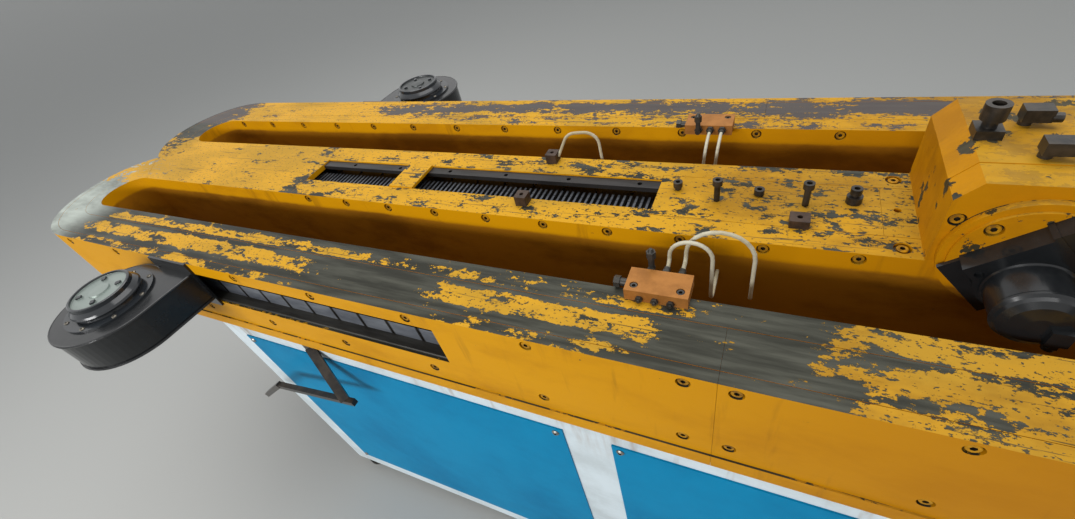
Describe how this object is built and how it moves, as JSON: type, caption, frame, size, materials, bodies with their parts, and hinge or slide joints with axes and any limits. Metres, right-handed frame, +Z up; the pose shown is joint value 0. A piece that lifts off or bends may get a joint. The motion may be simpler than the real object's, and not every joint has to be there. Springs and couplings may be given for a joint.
{
  "type": "corrugated pipe forming machine",
  "caption": "Flat oval-track bed with chains of toothed mould blocks, a drive housing, cooling blowers and grease manifolds, on a panelled steel frame.",
  "frame": {"origin": "on the floor, under the middle of the machine's overall box, which is the middle of the bed", "axes": "+X along the machine from the round free end towards the drive housing, +Y across it away from the operator's side, +Z up"},
  "size_m": [2.6839, 1.174, 1.248],
  "materials": {
    "bed_paint": "worn gloss",
    "worn_top_paint": "heavily worn",
    "frame_paint": "satin",
    "panel_paint": "satin",
    "bare_steel": "dull, oily",
    "mould_steel": "oily",
    "black_oxide": "black oxide",
    "manifold_copper": "satin",
    "tube_plastic": "translucent",
    "blower_paint": "gloss"
  },
  "bodies": {
    "root": {"front_frame": "frame_paint", "back_frame": "frame_paint", "frame_ties": "frame_paint", "levelling_feet": "bare_steel", "front_panel_left": "panel_paint", "front_panel_right": "panel_paint", "back_panel_left": "panel_paint", "back_panel_right": "panel_paint", "end_panel_left": "panel_paint", "end_panel_right": "panel_paint", "hook_bar": "black_oxide", "base_plate_left": "bed_paint", "base_plate_right": "bed_paint", "near_wall_left": "bed_paint", "near_wall_right": "bed_paint", "far_wall_left": "bed_paint", "far_wall_right": "bed_paint", "near_outer_bar": "bed_paint", "near_inner_bar": "bed_paint", "far_inner_bar": "bed_paint", "far_outer_bar": "bed_paint", "near_left_bend": "bed_paint", "near_right_bend": "bed_paint", "far_left_bend": "bed_paint", "far_right_bend": "bed_paint", "near_cover_left": "worn_top_paint", "near_cover_right": "worn_top_paint", "far_cover_left": "worn_top_paint", "far_cover_right": "worn_top_paint", "rack_shelf": "bare_steel", "centre_cover_left": "worn_top_paint", "centre_crossbar": "bed_paint", "centre_cover_middle": "worn_top_paint", "centre_cover_right": "worn_top_paint", "near_mould_blocks": "mould_steel", "far_mould_blocks": "mould_steel", "window_rails": "bare_steel", "drive_body": "bed_paint", "drive_front_plate": "bed_paint", "drive_back_plate": "bed_paint", "bearing_flange": "bed_paint", "clamp_bolts": "black_oxide", "cover_screws": "black_oxide", "grease_blocks": "bare_steel", "near_manifold": "manifold_copper", "far_manifold": "manifold_copper", "grease_tubes": "tube_plastic", "near_blower": "blower_paint", "near_blower_motor": "blower_paint", "far_blower": "blower_paint", "far_blower_motor": "blower_paint", "drive_blower": "blower_paint", "drive_blower_motor": "blower_paint"}
  },
  "joints": []
}
